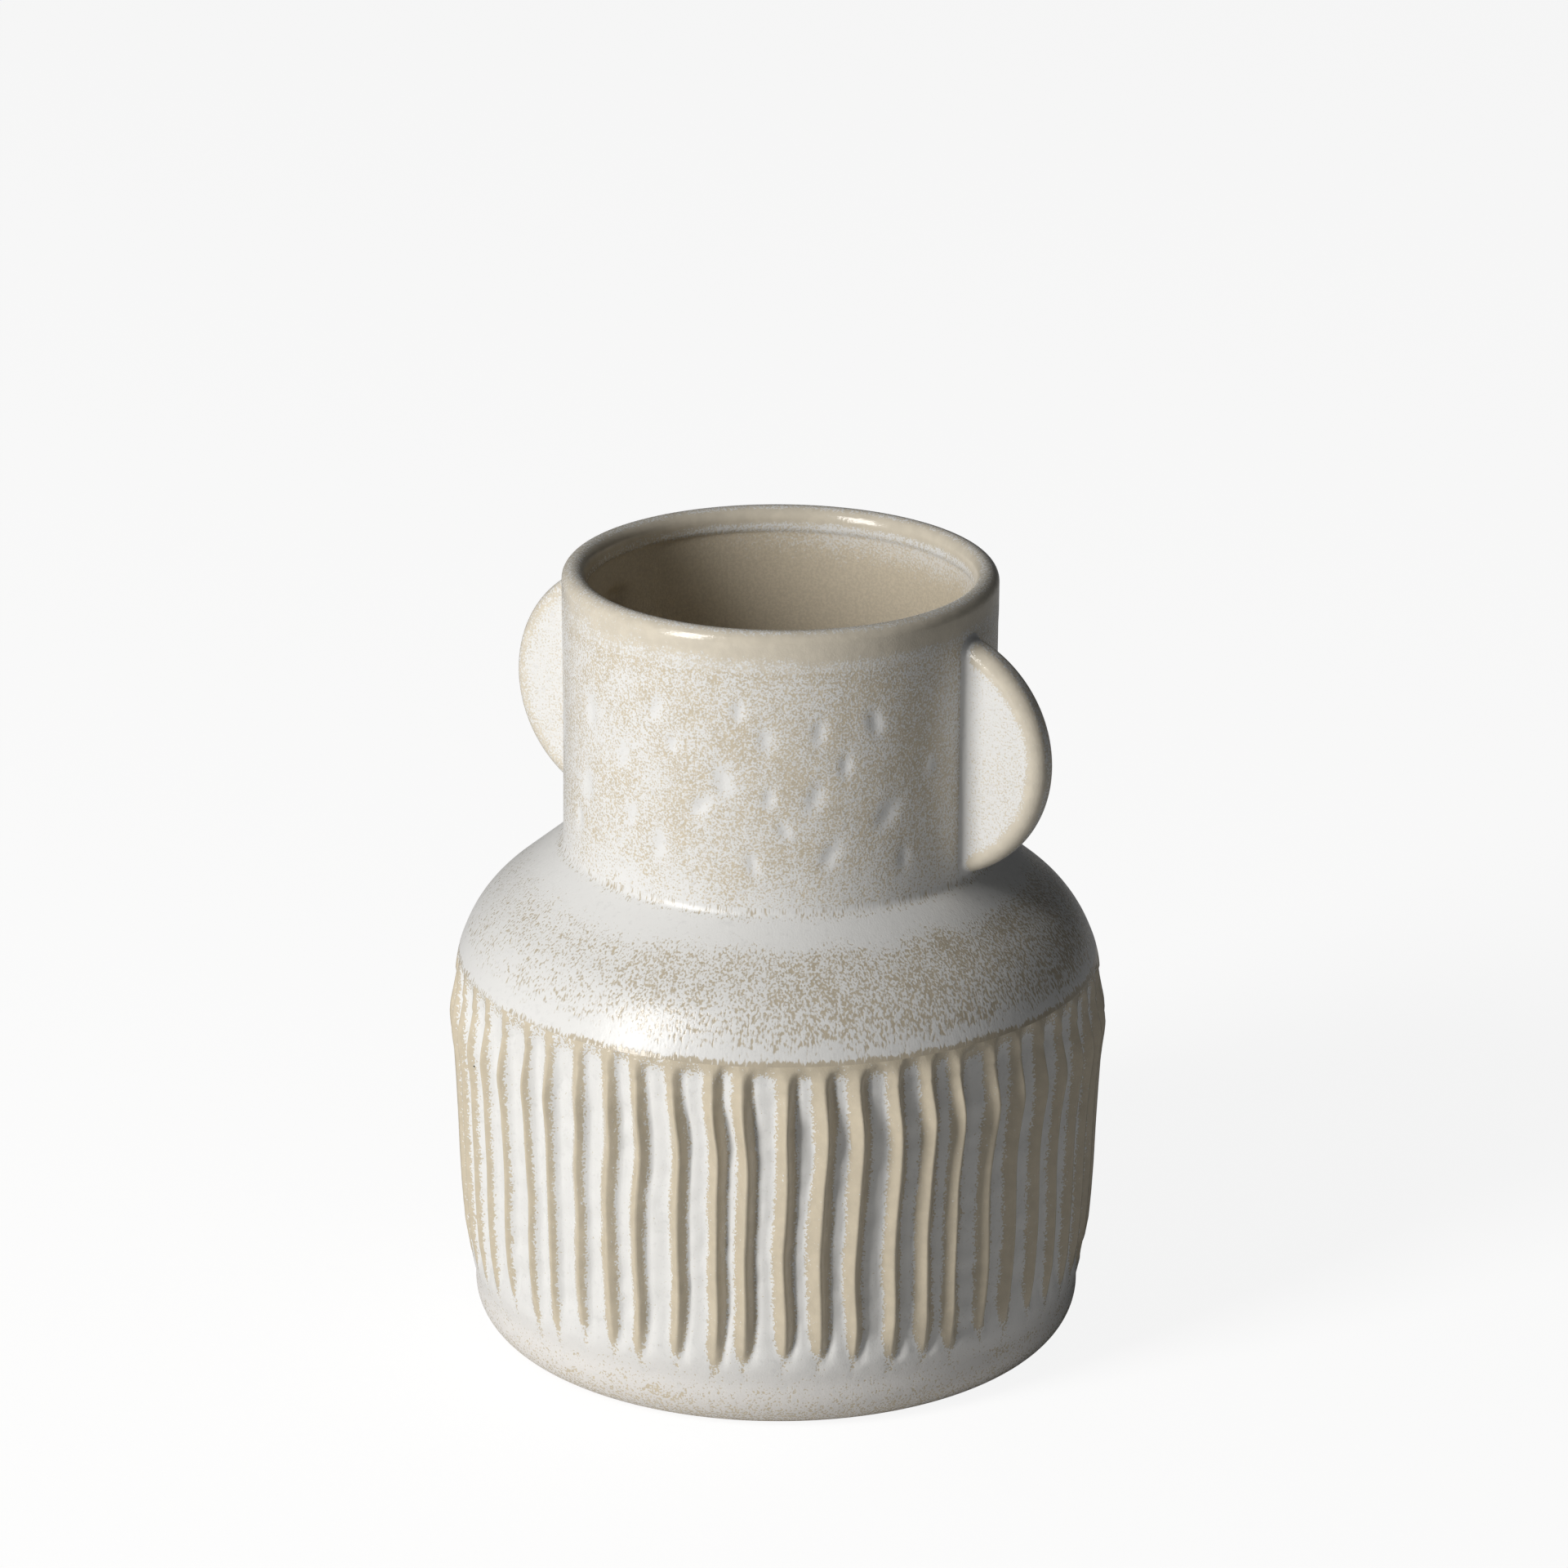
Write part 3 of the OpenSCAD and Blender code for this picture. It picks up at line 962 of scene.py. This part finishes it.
class VASE_OT_shoulder(bpy.types.Operator):
    """Makes the sloping shoulder"""

    bl_idname = "vase.shoulder"
    bl_label = "Shoulder"

    def execute(self, context):
        body, colours = context.scene.vase_body, context.scene.vase_colours
        form = Form(body)
        material = glaze_material("shoulder glaze", colours, colours.speck, 1900, 1.7, 0.3,
                                  streaked=True)
        bm = shoulder_mesh(form, body)
        paint(bm, lambda vert: paint_shoulder(form, vert.co))
        make_piece("sloping_shoulder", bm, "shoulder", material)
        return {"FINISHED"}


class VASE_OT_wall(bpy.types.Operator):
    """Makes the fluted wall"""

    bl_idname = "vase.wall"
    bl_label = "Fluted wall"

    def execute(self, context):
        body, colours = context.scene.vase_body, context.scene.vase_colours
        form = Form(body)
        material = glaze_material("drum glaze", colours, colours.beige, 1900, 3.2, 0.3)
        bm = wall_mesh(form, body, context.scene.vase_flutes)
        make_piece("fluted_drum", bm, "fluted_wall", material)
        return {"FINISHED"}


class VASE_OT_floor(bpy.types.Operator):
    """Makes the floor inside the vase"""

    bl_idname = "vase.floor"
    bl_label = "Floor"

    def execute(self, context):
        body, colours = context.scene.vase_body, context.scene.vase_colours
        form = Form(body)
        material = glaze_material("liner glaze", colours, colours.beige, 1250, 1.2, 0.3)
        bm = floor_mesh(form, body)
        paint(bm, lambda vert: (0.0, 1.0))
        make_piece("vase_floor", bm, "floor_disc", material)
        return {"FINISHED"}


class VASE_OT_foot(bpy.types.Operator):
    """Makes the bare foot ring"""

    bl_idname = "vase.foot"
    bl_label = "Foot ring"

    def execute(self, context):
        body, colours = context.scene.vase_body, context.scene.vase_colours
        form = Form(body)
        bm = foot_mesh(form, body)
        make_piece("bare_foot", bm, "foot_ring", clay_material(colours))
        return {"FINISHED"}


class VASE_OT_lugs(bpy.types.Operator):
    """Makes the two lugs"""

    bl_idname = "vase.lugs"
    bl_label = "Lugs"

    def execute(self, context):
        lugs, colours = context.scene.vase_lugs, context.scene.vase_colours
        form = Form(context.scene.vase_body)
        material = glaze_material("lug glaze", colours, colours.lip, 2000, 1.5, 0.3)
        for name, node, side in (("right_ear", "lug_right", 1), ("left_ear", "lug_left", -1)):
            bm = lug_mesh(form, lugs, side)
            close(bm, math.radians(80))
            paint(bm, lambda vert: paint_lug(form, lugs, vert.co))
            make_piece(name, bm, node, material)
        return {"FINISHED"}


class VASE_OT_stage(bpy.types.Operator):
    """Sets the floor, the studio light and the camera"""

    bl_idname = "vase.stage"
    bl_label = "Stage"

    def execute(self, context):
        scene, stage = context.scene, context.scene.vase_stage
        bm = bmesh.new()
        bmesh.ops.create_grid(bm, x_segments=1, y_segments=1, size=6)
        mesh = bpy.data.meshes.new("studio_floor")
        bm.to_mesh(mesh)
        bm.free()
        floor = bpy.data.objects.new("studio_floor", mesh)
        scene.collection.objects.link(floor)
        sh = Shader("studio floor")
        ray = sh.node("ShaderNodeLightPath", output="Is Camera Ray")
        sh.feed(sh.surface.inputs["Base Color"], sh.mix(ray, grey(0.80), grey(0.16)))
        sh.feed(sh.surface.inputs["Emission Color"],
                sh.mix(ray, grey(0.0), rgba(scene.vase_colours.floor)))
        sh.surface.inputs["Emission Strength"].default_value = 0.95
        sh.surface.inputs["Roughness"].default_value = 0.9
        sh.surface.inputs["Specular IOR Level"].default_value = 0.0
        mesh.materials.append(sh.material)

        world = bpy.data.worlds.new("studio")
        world.use_nodes = True
        world.node_tree.nodes["Background"].inputs["Color"].default_value = (0.94, 0.97, 1.0, 1)
        world.node_tree.nodes["Background"].inputs["Strength"].default_value = 0.05
        scene.world = world
        self.light(scene, Vector((-0.705, -0.578, 0.412)), 2.2, (0.62, 1.6), 46.5)
        self.camera(scene, stage)
        scene.view_settings.view_transform = "Standard"
        return {"FINISHED"}

    def light(self, scene, direction, distance, size, power):
        """A soft rectangle of light, placed round from the camera and aimed at the vase."""
        turn = Matrix.Rotation(scene.vase_stage.azimuth, 3, "Z")
        outward = (turn @ direction).normalized()
        data = bpy.data.lights.new("key", "AREA")
        data.shape = "RECTANGLE"
        data.size, data.size_y = size
        data.energy = power
        data.color = (1.0, 0.985, 0.96)
        light = bpy.data.objects.new("key", data)
        light.location = outward * distance + Vector((0, 0, 0.1))
        light.rotation_euler = outward.to_track_quat("Z", "Y").to_euler()
        scene.collection.objects.link(light)

    def camera(self, scene, stage):
        """A long lens that looks down at the vase a little."""
        data = bpy.data.cameras.new("camera")
        data.lens = stage.lens
        data.sensor_width = 36
        data.clip_end = 30
        camera = bpy.data.objects.new("camera", data)
        camera.rotation_euler = (
            Matrix.Rotation(stage.azimuth, 3, "Z")
            @ Matrix.Rotation(math.pi / 2 - stage.elevation, 3, "X")
            @ Matrix.Rotation(stage.roll, 3, "Z")
        ).to_euler()
        back = Vector((stage.shift, -stage.distance * math.cos(stage.elevation),
                       stage.aim + stage.distance * math.sin(stage.elevation)))
        camera.location = Matrix.Rotation(stage.azimuth, 3, "Z") @ back
        scene.collection.objects.link(camera)
        scene.camera = camera


class VASE_PT_panel(bpy.types.Panel):
    """Lists the vase's sizes, colours and pieces"""

    bl_idname = "VASE_PT_panel"
    bl_label = "Stoneware Vase"
    bl_space_type = "VIEW_3D"
    bl_region_type = "UI"
    bl_category = "Vase"

    def draw(self, context):
        layout = self.layout
        for name in GROUPS:
            group = getattr(context.scene, name)
            box = layout.box()
            box.label(text=group.bl_rna.description)
            for key in group.__annotations__:
                box.prop(group, key)
        for operator in OPERATORS:
            layout.operator(operator.bl_idname)


GROUPS = {
    "vase_body": VaseBody,
    "vase_flutes": VaseFlutes,
    "vase_lugs": VaseLugs,
    "vase_colours": VaseColours,
    "vase_stage": VaseStage,
}
OPERATORS = (VASE_OT_foot, VASE_OT_floor, VASE_OT_wall, VASE_OT_shoulder, VASE_OT_neck,
             VASE_OT_rim, VASE_OT_lugs, VASE_OT_stage)


def register():
    for cls in (*GROUPS.values(), *OPERATORS, VASE_PT_panel):
        bpy.utils.register_class(cls)
    for name, group in GROUPS.items():
        setattr(bpy.types.Scene, name, PointerProperty(type=group))


def unregister():
    for name in GROUPS:
        delattr(bpy.types.Scene, name)
    for cls in reversed((*GROUPS.values(), *OPERATORS, VASE_PT_panel)):
        bpy.utils.unregister_class(cls)


def main():
    register()
    bpy.ops.vase.foot()
    bpy.ops.vase.floor()
    bpy.ops.vase.wall()
    bpy.ops.vase.shoulder()
    bpy.ops.vase.neck()
    bpy.ops.vase.rim()
    bpy.ops.vase.lugs()
    bpy.ops.vase.stage()


if __name__ == "__main__":
    main()
